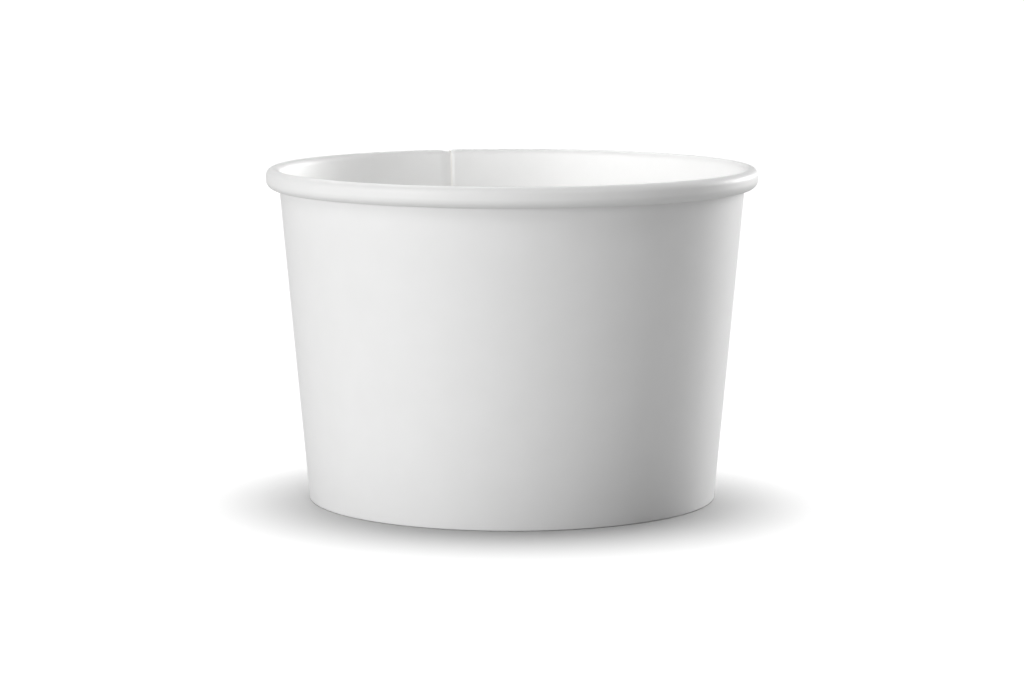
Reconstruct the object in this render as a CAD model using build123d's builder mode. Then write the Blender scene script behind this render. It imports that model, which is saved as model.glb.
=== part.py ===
from build123d import *
from math import acos, asin, atan2, cos, degrees, hypot, radians, sin, tan
import os

# Paper sundae cup, 240 ml size. Millimetres, +Z up, foot on z = 0, cup axis on Z.

# overall sizes
rim_radius = 45.0        # outside of the rolled rim, what a lid grips
foot_radius = 37.4       # outside of the side wall, carried down to z = 0
height = 60.9            # foot to the top of the rolled rim

# boards
board = 0.40             # side wall board with its coating
base_board = 0.36        # base disc board with its coating

# rolled rim
roll_height = 3.74       # top of the roll to its underside
curl_room = 0.12         # room left inside the roll where the board is double
under_radius = 1.63      # food-side radius round the underside of the roll
tail_gap = 0.06          # between the end of the roll and the wall under it

# lap seam up the side
seam_azimuth = 106.1     # degrees round from +X to the edge of the inner layer
lap_width = 7.0          # overlap, measured along the rim
jog_width = 2.8          # width over which the outer layer steps out by one board
jog_sections = 5         # sections that shape the step

# folded foot
fold_inside = 0.05       # inside radius of the folded board
seal_film = 0.03         # coating melted between the base skirt and each face of the pocket
hem_clear = 0.6          # raw edge of the turned-up hem to where the base starts to bend

# base disc
base_height = 6.1        # foot to the food side of the base
base_corner = 0.85       # food-side radius where the base turns down
skirt_clear = 0.25       # end of the skirt to the inside of the fold


def wall_x(offset, z):
    """Radius at height z of a line parallel to the outside of the wall, offset outwards."""
    return foot_radius + z * tan(lean) + offset / cos(lean)


# derived
crown_radius = 3 * board + curl_room
crown_x = rim_radius - crown_radius
crown_z = height - crown_radius
reach = hypot(crown_x - foot_radius, crown_z)
lean = atan2(crown_x - foot_radius, crown_z) - asin((crown_radius - board) / reach)
under_x = rim_radius - under_radius
under_z = height - roll_height + under_radius
under_offset = (under_x - foot_radius) * cos(lean) - under_z * sin(lean)
slope = degrees(lean)
pocket = base_board + 2 * seal_film
lap_angle = degrees(lap_width / rim_radius)
jog_angle = degrees(jog_width / rim_radius)
skirt_outside = -board - seal_film
skirt_inside = skirt_outside - base_board
skirt_end = board + skirt_clear
corner_z = base_height - base_corner
corner_x = wall_x(skirt_outside, corner_z) - base_corner / cos(lean)
hem_length = (corner_z - hem_clear) / cos(lean)


def section_plane(azimuth):
    """Upright plane through the cup axis, its x along the radius and its y up."""
    turn = radians(azimuth)
    return Plane(origin=(0, 0, 0), x_dir=(cos(turn), sin(turn), 0), z_dir=(sin(turn), -cos(turn), 0))


def curl_end(total):
    """Degrees the roll turns past its outer band before it meets a wall of this total thickness."""
    return slope + degrees(acos((total - board + tail_gap - under_offset) / under_radius))


def board_face(depth, foot_z, curl):
    """One face of the board from the hem to the end of the roll, depth below the food side."""
    bend = fold_inside + depth
    hem_shift = -(board + pocket + depth)
    wall_shift = depth - board
    hem_x = wall_x(hem_shift, foot_z + bend) + bend / cos(lean)
    foot_x = wall_x(wall_shift, foot_z + bend) - bend / cos(lean)
    hem_end = (
        foot_radius + hem_shift * cos(lean) + hem_length * sin(lean),
        -hem_shift * sin(lean) + hem_length * cos(lean),
    )
    with BuildLine(mode=Mode.PRIVATE) as face:
        hem_bend = CenterArc((hem_x, foot_z + bend), bend, 180 - slope, 90 + slope)
        foot_bend = CenterArc((foot_x, foot_z + bend), bend, 270, 90 - slope)
        crown = CenterArc((crown_x, crown_z), crown_radius - depth, 180 - slope, slope - 180)
        under = CenterArc((under_x, under_z), under_radius - depth, 0, -curl)
        Line(hem_end, hem_bend @ 0)
        Line(hem_bend @ 1, foot_bend @ 0)
        Line(foot_bend @ 1, crown @ 0)
        Line(crown @ 1, under @ 0)
    return face.wires()[0]


def board_section(near, far):
    """Closed section of the board between two depths, foot kept flat on z = 0."""
    inner = board_face(near, board, curl_end(far))
    outer = board_face(far, 0, curl_end(far))
    hem_edge = Line(inner @ 0, outer @ 0, mode=Mode.PRIVATE)
    tail_edge = Line(inner @ 1, outer @ 1, mode=Mode.PRIVATE)
    return inner.edges() + outer.edges() + [hem_edge, tail_edge]


# Side wall: one blank rolled into a cone, lapped and heat sealed, foot folded in, rim rolled out.
with BuildPart() as side_wall:
    # single board, all the way round but the seam
    with BuildSketch(section_plane(seam_azimuth + jog_angle)):
        make_face(board_section(0, board))
    revolve(axis=Axis.Z, revolution_arc=360 - jog_angle - lap_angle)
    # two boards deep over the lap
    with BuildSketch(section_plane(seam_azimuth - lap_angle)):
        make_face(board_section(0, 2 * board))
    revolve(axis=Axis.Z, revolution_arc=lap_angle)
    # the outer layer easing out over the edge of the inner one
    for step in range(jog_sections):
        share = step / (jog_sections - 1)
        depth = board * share * share * (3 - 2 * share)
        with BuildSketch(section_plane(seam_azimuth + jog_angle * (1 - share))):
            make_face(board_section(depth, depth + board))
    loft()

# Base disc: a round of board drawn into a shallow tray, its skirt sealed in the folded foot.
with BuildPart() as base_disc:
    with BuildSketch(Plane.XZ):
        with BuildLine():
            food_bend = CenterArc((corner_x, corner_z), base_corner, 90, -90 - slope)
            under_bend = CenterArc((corner_x, corner_z), base_corner - base_board, 90, -90 - slope)
            food_face = Line((0, base_height), food_bend @ 0)
            outside = Line(food_bend @ 1, (wall_x(skirt_outside, skirt_end), skirt_end))
            under_face = Line((0, base_height - base_board), under_bend @ 0)
            inside = Line(under_bend @ 1, (wall_x(skirt_inside, skirt_end), skirt_end))
            Line(outside @ 1, inside @ 1)
            Line(food_face @ 0, under_face @ 0)
        make_face()
    revolve(axis=Axis.Z)

side_wall.part.label = "side_wall"
base_disc.part.label = "base_disc"

os.makedirs("parts", exist_ok=True)
export_step(side_wall.part, "parts/side_wall.step")
export_step(base_disc.part, "parts/base_disc.step")
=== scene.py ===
from math import acos, asin, atan2, cos, hypot, pi, radians, sin, tan

import bpy
import numpy as np
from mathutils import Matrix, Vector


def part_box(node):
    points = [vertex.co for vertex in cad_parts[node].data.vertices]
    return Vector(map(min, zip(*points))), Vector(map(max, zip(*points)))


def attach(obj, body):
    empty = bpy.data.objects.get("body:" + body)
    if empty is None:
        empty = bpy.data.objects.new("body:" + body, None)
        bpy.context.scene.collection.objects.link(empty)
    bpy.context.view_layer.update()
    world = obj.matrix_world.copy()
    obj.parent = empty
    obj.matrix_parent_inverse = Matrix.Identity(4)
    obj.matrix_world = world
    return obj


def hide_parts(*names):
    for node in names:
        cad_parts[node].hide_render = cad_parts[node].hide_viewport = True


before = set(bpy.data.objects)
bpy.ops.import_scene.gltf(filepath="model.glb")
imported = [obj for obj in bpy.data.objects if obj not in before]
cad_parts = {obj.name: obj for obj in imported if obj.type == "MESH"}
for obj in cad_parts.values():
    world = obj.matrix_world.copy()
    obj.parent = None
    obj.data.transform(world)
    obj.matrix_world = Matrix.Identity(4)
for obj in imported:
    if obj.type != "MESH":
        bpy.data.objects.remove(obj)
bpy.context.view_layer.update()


# ---------------------------------------------------------------------------
# Side wall
# One blank of white cup board, rolled into a cone and lapped, its coating welded by heat.
# The mouth is rolled outwards over a curling die, and the foot is folded in and up around
# the base skirt, then pressed against it with a ribbed wheel.

wall_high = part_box("side_wall")[1]
rim_radius = wall_high.x
height = wall_high.z
foot_radius = 0.0374        # outside of the cone, carried down to the floor
board = 0.00040             # thickness of the board with its coating
roll_height = 0.00374
crown_radius = 0.00132      # food-side radius over the top of the roll
under_radius = 0.00163      # and round its underside
tail_gap = 0.00006          # from the end of the roll to the wall under it
fold_inside = 0.00005       # inside radius of the folded board
fold_square = 5             # how square the wheel presses the outside of the fold, 2 is round
pocket = 0.00042            # room for the base skirt inside the folded foot
hem_top = 0.00465           # raw edge of the turned-up hem
seam_azimuth = radians(106.1)
lap_width = 0.0070
jog_width = 0.0028          # along the rim, while the outer layer steps out over the inner one
weld_film = 0.00001         # coating between the two lapped layers
ease_turn = 0.004           # radians in which the wall goes from double to single board
press_depth = 0.00016       # the sealing bar flattens each raw edge of the lap
press_width = 0.0007
rib_count = 120             # pressed ribs round the inside of the hem
rib_depth = 0.00011
rib_low, rib_high, rib_fade = 0.0011, 0.0040, 0.0004
slack = 0.00004             # how far the finished wall strays from a true cone at the rim

# steps of the mesh: along the section, then round the cup
hem_rows, hem_bend_rows, foot_bend_rows = 12, 8, 10
wall_rows, crown_rows, band_rows, under_rows = 12, 24, 3, 20
press_columns, lap_columns, ease_columns, jog_columns = 6, 12, 2, 20
round_columns = 4 * rib_count - 23
sharp_angle = radians(50)   # corners past this show as cut edges

crown_x, crown_z = rim_radius - crown_radius, height - crown_radius
reach = hypot(crown_x - foot_radius, crown_z)
lean = atan2(crown_x - foot_radius, crown_z) - asin((crown_radius - board) / reach)
under_x, under_z = rim_radius - under_radius, height - roll_height + under_radius
under_offset = (under_x - foot_radius) * cos(lean) - under_z * sin(lean)
lap_turn, jog_turn = lap_width / rim_radius, jog_width / rim_radius
press_turn = press_width / rim_radius


def wall_x(offset, z):
    """Radius at height z of a line parallel to the outside of the cone, offset outwards."""
    return foot_radius + z * tan(lean) + offset / cos(lean)


def smooth(share):
    """Ease from 0 to 1, flat at both ends."""
    share = min(max(share, 0.0), 1.0)
    return share * share * (3 - 2 * share)


def arc(centre, radius, start, sweep, steps, facing):
    """Stations round an arc: a place, and the way to the print side.

    That way points from the centre (facing 1) or to it (facing -1)."""
    stations = []
    for i in range(steps + 1):
        turn = start + sweep * i / steps
        place = (centre[0] + radius * cos(turn), centre[1] + radius * sin(turn))
        stations.append((place, (facing * cos(turn), facing * sin(turn))))
    return stations


def straight(start, end, steps):
    """Stations between two others, without the ends, all facing as the first one does."""
    (x0, z0), (x1, z1) = start[0], end[0]
    shares = [i / steps for i in range(1, steps)]
    return [((x0 + (x1 - x0) * s, z0 + (z1 - z0) * s), start[1]) for s in shares]


def board_stations(total):
    """Food side of the board in section, from the edge of the hem to the end of the roll.

    The roll ends where it meets the wall, which has this thickness in all."""
    bend = fold_inside
    bend_z = board + bend
    hem_x = wall_x(-board - pocket, bend_z) + bend / cos(lean)
    foot_x = wall_x(-board, bend_z) - bend / cos(lean)
    hem_bend = arc((hem_x, bend_z), bend, pi - lean, pi / 2 + lean, hem_bend_rows, 1)
    foot_bend = arc((foot_x, bend_z), bend, -pi / 2, pi / 2 - lean, foot_bend_rows, 1)
    crown = arc((crown_x, crown_z), crown_radius, pi - lean, lean - pi, crown_rows, -1)
    curl = lean + acos((total - board + tail_gap - under_offset) / under_radius)
    under = arc((under_x, under_z), under_radius, 0, -curl, under_rows, -1)
    hem_edge = ((wall_x(-board - pocket, hem_top), hem_top), hem_bend[0][1])
    hem = [hem_edge] + straight(hem_edge, hem_bend[0], hem_rows)
    wall = straight(foot_bend[-1], crown[0], wall_rows)
    band = straight(crown[-1], under[0], band_rows)
    return hem + hem_bend + foot_bend + wall + crown + band + under


def even(start, end, count):
    """Turns spread evenly from start, the end left out."""
    return np.linspace(start, end, count, endpoint=False)


def strip_columns():
    """Places along the strip, each a turn from the inner raw edge, the depth of the food side
    there and the thickness of all the board there."""
    full = 2 * pi
    eased, last = lap_turn + ease_turn, full + lap_turn
    turns = np.concatenate([
        even(0, press_turn, press_columns),
        even(press_turn, lap_turn, lap_columns),
        even(lap_turn, eased, ease_columns),
        even(eased, full - jog_turn, round_columns),
        even(full - jog_turn, full, jog_columns),
        even(full, last - press_turn, lap_columns),
        even(last - press_turn, last, press_columns),
        [last],
    ])
    layer = board + weld_film
    columns = []
    for turn in turns:
        jogged = smooth((turn - full + jog_turn) / jog_turn)
        doubled = jogged if turn > pi else 1 - smooth((turn - lap_turn) / ease_turn)
        columns.append((turn, layer * jogged, board + layer * doubled))
    return columns


def column_points(turn, depth, total, side):
    """One upright row of points on the food side (0) or the print side (1) of the strip."""
    azimuth = seam_azimuth - turn
    stations = board_stations(total)
    place = np.array([station[0] for station in stations])
    way = np.array([station[1] for station in stations])
    # the sealing bar thins the board towards its raw edge
    from_edge = 2 * pi + lap_turn - turn if side else turn
    pressed = press_depth * (1 - smooth(from_edge / press_turn))
    at = place + way * (depth + (board - pressed if side else pressed))
    if side:
        # the fold's outside is driven towards a square corner
        fold = (place[:, 1] < board + fold_inside) & (way[:, 1] < 0)
        corner = np.sum(np.abs(way[fold]) ** fold_square, 1, keepdims=True) ** (-1 / fold_square) - 1
        at[fold] += way[fold] * (fold_inside + depth + board) * corner
    # all the board under the foot is crushed to one thickness, so that it stands flat
    low = at[:, 1] < board
    at[low, 1] = board - (board - at[low, 1]) * board / total
    if side:
        rib = rib_depth * (0.5 + 0.5 * cos(rib_count * azimuth))
        for row in range(hem_rows + 1):
            z = at[row, 1]
            at[row, 0] += rib * smooth((z - rib_low) / rib_fade) * smooth((rib_high - z) / rib_fade)
    # a slow wander round the rim: out of round, with a faint three-sided part
    stray = sin(2 * azimuth + 0.6) + 0.5 * sin(3 * azimuth + 2.1) - 0.6
    at[:, 0] += slack * stray * np.clip(at[:, 1] / height, 0, 1) ** 2
    return np.stack([at[:, 0] * cos(azimuth), at[:, 0] * sin(azimuth), at[:, 1]], 1)


def board_mesh(name, sheets, ring):
    """Closed mesh of a board from its food-side and print-side grids, as a ring or as a strip.

    Its material slots are 0 for the food side, 1 for the print side and 2 for a cut edge."""
    food, back = sheets
    count, rows = food.shape[:2]
    verts = np.concatenate([food.reshape(-1, 3), back.reshape(-1, 3)])
    offset = count * rows
    faces, slots = [], []
    spans = [((c + 1) % count, c) for c in range(count if ring else count - 1)]
    rims = [(rows - 1, -1)] if ring else [(0, 1), (rows - 1, -1)]
    for c, d in spans:
        for r in range(rows - 1):
            face = (c * rows + r, c * rows + r + 1, d * rows + r + 1, d * rows + r)
            faces += [face, tuple(offset + v for v in face[::-1])]
            slots += [0, 1]
        for r, flip in rims:
            edge = (c * rows + r, d * rows + r, offset + d * rows + r, offset + c * rows + r)
            faces.append(edge[::flip])
            slots.append(2)
    if ring:
        # a round face closes the middle of each side
        middle = [c * rows for c in range(count)]
        faces += [tuple(middle[::-1]), tuple(offset + v for v in middle)]
        slots += [0, 1]
    else:
        # the raw edges at the two ends of the strip
        for c, flip in ((0, -1), (count - 1, 1)):
            for r in range(rows - 1):
                a, b = c * rows + r, c * rows + r + 1
                faces.append((a, offset + a, offset + b, b)[::flip])
                slots.append(2)
    mesh = bpy.data.meshes.new(name)
    mesh.from_pydata(verts.tolist(), [], faces)
    mesh.polygons.foreach_set("material_index", slots)
    mesh.polygons.foreach_set("use_smooth", [True] * len(faces))
    mesh.set_sharp_from_angle(angle=sharp_angle)
    mesh.update()
    return mesh


def fibre_group():
    """Masks for the fibre of the paper, its cloudy formation and the slight peel of its coating.

    Scales are per metre."""
    squeeze = (1.0, 1.0, 2.6)   # the fibres lie round the cup
    layers = (
        # name, scale, detail, roughness
        ("Fibre", 1400.0, 5.0, 0.62),
        ("Cloud", 160.0, 3.0, 0.55),
        ("Peel", 420.0, 1.0, 0.4),
    )
    group = bpy.data.node_groups.new("paper_fibre", "ShaderNodeTree")
    face = group.interface
    face.new_socket("Place", in_out="INPUT", socket_type="NodeSocketVector")
    for name, scale, detail, rough in layers:
        knob = face.new_socket(f"{name} Scale", in_out="INPUT", socket_type="NodeSocketFloat")
        knob.default_value = scale
        face.new_socket(name, in_out="OUTPUT", socket_type="NodeSocketFloat")
    nodes, links = group.nodes, group.links
    source, sink = nodes.new("NodeGroupInput"), nodes.new("NodeGroupOutput")
    squeezed = nodes.new("ShaderNodeVectorMath")
    squeezed.operation = "MULTIPLY"
    squeezed.inputs[1].default_value = squeeze
    links.new(source.outputs["Place"], squeezed.inputs[0])
    for name, scale, detail, rough in layers:
        vector = squeezed.outputs[0] if name == "Fibre" else source.outputs["Place"]
        noise = nodes.new("ShaderNodeTexNoise")
        noise.inputs["Detail"].default_value = detail
        noise.inputs["Roughness"].default_value = rough
        links.new(vector, noise.inputs["Vector"])
        links.new(source.outputs[f"{name} Scale"], noise.inputs["Scale"])
        links.new(noise.outputs["Fac"], sink.inputs[name])
    return group


paper_fibre = fibre_group()


def board_material(name, pale, deep, gloss, fibre_height, peel_height):
    """A paper surface: two tones mixed by its formation, a range of roughness, and the heights in
    metres of its fibre and of the peel of its coating. Returns the material and its shader."""
    material = bpy.data.materials.new(name)
    material.use_nodes = True
    nodes, links = material.node_tree.nodes, material.node_tree.links
    shader = nodes["Principled BSDF"]
    place = nodes.new("ShaderNodeTexCoord")
    fibre = nodes.new("ShaderNodeGroup")
    fibre.node_tree = paper_fibre
    links.new(place.outputs["Object"], fibre.inputs["Place"])
    tone = nodes.new("ShaderNodeValToRGB")
    dark_end, light_end = tone.color_ramp.elements
    dark_end.position, dark_end.color = 0.3, (*deep, 1)
    light_end.position, light_end.color = 0.7, (*pale, 1)
    links.new(fibre.outputs["Cloud"], tone.inputs["Fac"])
    links.new(tone.outputs["Color"], shader.inputs["Base Color"])
    rough = nodes.new("ShaderNodeMapRange")
    rough.inputs["To Min"].default_value, rough.inputs["To Max"].default_value = gloss
    links.new(fibre.outputs["Peel"], rough.inputs["Value"])
    links.new(rough.outputs["Result"], shader.inputs["Roughness"])
    fine = nodes.new("ShaderNodeBump")
    fine.inputs["Distance"].default_value = fibre_height
    links.new(fibre.outputs["Fibre"], fine.inputs["Height"])
    peel = nodes.new("ShaderNodeBump")
    peel.inputs["Distance"].default_value = peel_height
    links.new(fibre.outputs["Peel"], peel.inputs["Height"])
    links.new(fine.outputs["Normal"], peel.inputs["Normal"])
    links.new(peel.outputs["Normal"], shader.inputs["Normal"])
    return material, shader


coated_board, shader = board_material(
    "coated_food_side",
    pale=(0.90, 0.90, 0.895),
    deep=(0.885, 0.885, 0.88),
    gloss=(0.42, 0.54),
    fibre_height=0.000003,
    peel_height=0.000006,
)
shader.inputs["Specular IOR Level"].default_value = 0.35
print_board, shader = board_material(
    "smooth_print_side",
    pale=(0.89, 0.89, 0.888),
    deep=(0.875, 0.875, 0.872),
    gloss=(0.44, 0.56),
    fibre_height=0.000005,
    peel_height=0.000004,
)
shader.inputs["Specular IOR Level"].default_value = 0.4
cut_board, shader = board_material(
    "cut_board_edge",
    pale=(0.86, 0.84, 0.80),
    deep=(0.78, 0.75, 0.69),
    gloss=(0.80, 0.95),
    fibre_height=0.00004,
    peel_height=0.00001,
)
shader.inputs["Specular IOR Level"].default_value = 0.2

columns = strip_columns()
sheets = [np.stack([column_points(*column, side) for column in columns]) for side in (0, 1)]
side_wall_mesh = board_mesh("side_wall_board", sheets, ring=False)
side_wall = bpy.data.objects.new("cup_side_wall", side_wall_mesh)
for material in (coated_board, print_board, cut_board):
    side_wall.data.materials.append(material)
bpy.context.scene.collection.objects.link(side_wall)
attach(side_wall, "root")
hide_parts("side_wall")


# ---------------------------------------------------------------------------
# Base disc
# A round of board coated on its food side, drawn by a punch into a shallow tray. Its skirt is
# sealed between the wall and the hem, so from above only the disc and its rounded edge show.

base_low, base_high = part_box("base_disc")
base_height, skirt_end = base_high.z, base_low.z
base_board = 0.00036
base_corner = 0.00085       # food-side radius where the disc turns down
seal_film = 0.00003
middle_radius = 0.0005      # of the small round face in the middle of the mesh
sag, sag_share = 0.00025, 0.6   # the disc hangs a little low, over this share of its radius
pleat_count = 72
pleat_depth = 0.00002       # draw pleats round the corner
pleat_run = 0.003           # how far they fade in across the disc
pleat_drop, pleat_fade = 0.0005, 0.001  # and how far they reach down the corner
disc_rows, corner_rows, skirt_rows = 26, 12, 8
base_columns = 4 * pleat_count

corner_z = base_height - base_corner
corner_x = wall_x(-board - seal_film, corner_z) - base_corner / cos(lean)


def base_stations():
    """Food side of the base in section, from its middle to the end of the skirt."""
    corner = arc((corner_x, corner_z), base_corner, pi / 2, -pi / 2 - lean, corner_rows, -1)
    middle = ((middle_radius, base_height), corner[0][1])
    skirt = ((wall_x(-board - seal_film, skirt_end), skirt_end), corner[-1][1])
    disc = straight(middle, corner[0], disc_rows)
    side = straight(corner[-1], skirt, skirt_rows)
    return [middle] + disc + corner + side + [skirt]


def base_column(azimuth, side):
    """One row of points on the food side (0) or the underside (1), from the middle outwards."""
    at = []
    for (x, z), way in base_stations():
        x, z = x + way[0] * side * base_board, z + way[1] * side * base_board
        dish = sag * smooth((corner_x - x) / (corner_x * sag_share)) if z > corner_z else 0
        across = smooth((x - corner_x + pleat_run) / pleat_run)
        down = smooth((z - corner_z + pleat_drop) / pleat_fade)
        pleat = pleat_depth * across * down * (cos(pleat_count * azimuth) - 1)
        at.append((x, z - dish + pleat))
    return [(x * cos(azimuth), x * sin(azimuth), z) for x, z in at]


def base_mesh():
    """The whole base disc as a ring of columns closed in the middle."""
    turns = [2 * pi * i / base_columns for i in range(base_columns)]
    sheets = [np.array([base_column(-turn, side) for turn in turns]) for side in (0, 1)]
    return board_mesh("base_disc_board", sheets, ring=True)


bare_board, shader = board_material(
    "bare_underside",
    pale=(0.87, 0.86, 0.83),
    deep=(0.83, 0.815, 0.78),
    gloss=(0.72, 0.85),
    fibre_height=0.00002,
    peel_height=0.000006,
)
shader.inputs["Specular IOR Level"].default_value = 0.25

base_disc = bpy.data.objects.new("cup_base_disc", base_mesh())
for material in (coated_board, bare_board, cut_board):
    base_disc.data.materials.append(material)
bpy.context.scene.collection.objects.link(base_disc)
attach(base_disc, "root")
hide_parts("base_disc")


# ---------------------------------------------------------------------------
# Studio
# A seamless sheet of white paper on a table, seen through a long lens from a little above the
# rim. Large soft lights stand round it.

floor_size = 12
paper_seen = (0.6, 0.6, 0.6, 1)
painted_bounce_shade = (0.247, 0.247, 0.247, 1)     # painted shade: the paper is darker for the light it throws on to the cup than as the camera sees it
bpy.ops.mesh.primitive_plane_add(size=floor_size)
floor = bpy.context.object
floor.name = "floor"
floor_paper = bpy.data.materials.new("floor_paper")
floor_paper.use_nodes = True
nodes, links = floor_paper.node_tree.nodes, floor_paper.node_tree.links
shader = nodes["Principled BSDF"]
shader.inputs["Roughness"].default_value = 1.0
shader.inputs["Specular IOR Level"].default_value = 0.0
path = nodes.new("ShaderNodeLightPath")
# the camera sees the paper's own tone, while light bounced off it takes the darker painted shade
# tone
tone = nodes.new("ShaderNodeMix")
tone.data_type = "RGBA"
tone.inputs["A"].default_value = painted_bounce_shade
tone.inputs["B"].default_value = paper_seen
links.new(path.outputs["Is Camera Ray"], tone.inputs["Factor"])
links.new(tone.outputs["Result"], shader.inputs["Base Color"])
floor.data.materials.append(floor_paper)

lens, sensor = 121.73, 36   # millimetres
tilt = radians(7.45)        # how far the camera looks down
distance = 0.6330           # from the cup's axis, measured level
aim = 0.02857               # height at which its view crosses that axis
camera = bpy.data.objects.new("camera", bpy.data.cameras.new("camera"))
bpy.context.scene.collection.objects.link(camera)
bpy.context.scene.camera = camera
camera.data.sensor_width = sensor
camera.data.lens = lens
camera.data.clip_end = 100
camera.location = (0, -distance, aim + distance * tan(tilt))
camera.rotation_euler = (pi / 2 - tilt, 0, 0)

# Low soft boxes at the front left and back right shape the wall, and weaker high ones fill in.
# They are flagged off the paper, which has its own wide overhead light, so that the cup's shadow
# stays short and close round the foot. Side and rise are in degrees, side 0 over the camera,
# spread is how wide each one looks from the cup, in radians.
soft, wide = 0.5, 0.7
lit_cup = bpy.data.collections.new("lit_cup")
for piece in (side_wall, base_disc):
    lit_cup.objects.link(piece)
lit_floor = bpy.data.collections.new("lit_floor")
lit_floor.objects.link(floor)
for name, side, rise, spread, strength, lit in (
    ("key", -45, 6, soft, 1.9, lit_cup),
    ("key_high", -45, 45, soft, 0.8, lit_cup),
    ("key_side", -75, 10, soft, 0.4, lit_cup),
    ("fill", 60, 30, soft, 0.3, lit_cup),
    ("back", -165, 45, soft, 1.1, lit_cup),
    ("right_high", 105, 45, soft, 0.6, lit_cup),
    ("right_low", 135, 8, soft, 2.5, lit_cup),
    ("overhead", 180, 83, wide, 5.8, lit_floor),
):
    light = bpy.data.objects.new(name, bpy.data.lights.new(name, "SUN"))
    light.data.angle = spread
    light.data.energy = strength
    light.rotation_euler = (pi / 2 - radians(rise), 0, radians(side))
    light.light_linking.receiver_collection = lit
    bpy.context.scene.collection.objects.link(light)

# A small bulb held in the mouth, below the rim and a little to the left, opens up the inside.
bulb = bpy.data.objects.new("mouth_bulb", bpy.data.lights.new("mouth_bulb", "POINT"))
bulb.data.energy = 0.007
bulb.data.shadow_soft_size = 0.004
bulb.location = (-0.014, -0.004, 0.046)
bulb.visible_camera = False
bulb.light_linking.receiver_collection = lit_cup
bpy.context.scene.collection.objects.link(bulb)

room_glow = 0.03            # what the dark room adds, behind a white background
world = bpy.data.worlds.new("studio")
bpy.context.scene.world = world
world.use_nodes = True
nodes, links = world.node_tree.nodes, world.node_tree.links
glow = nodes["Background"]
glow.inputs["Color"].default_value = (1, 1, 1, 1)
path = nodes.new("ShaderNodeLightPath")
seen = nodes.new("ShaderNodeMapRange")
seen.inputs["To Min"].default_value = room_glow
links.new(path.outputs["Is Camera Ray"], seen.inputs["Value"])
links.new(seen.outputs["Result"], glow.inputs["Strength"])
bpy.context.scene.view_settings.view_transform = "Standard"
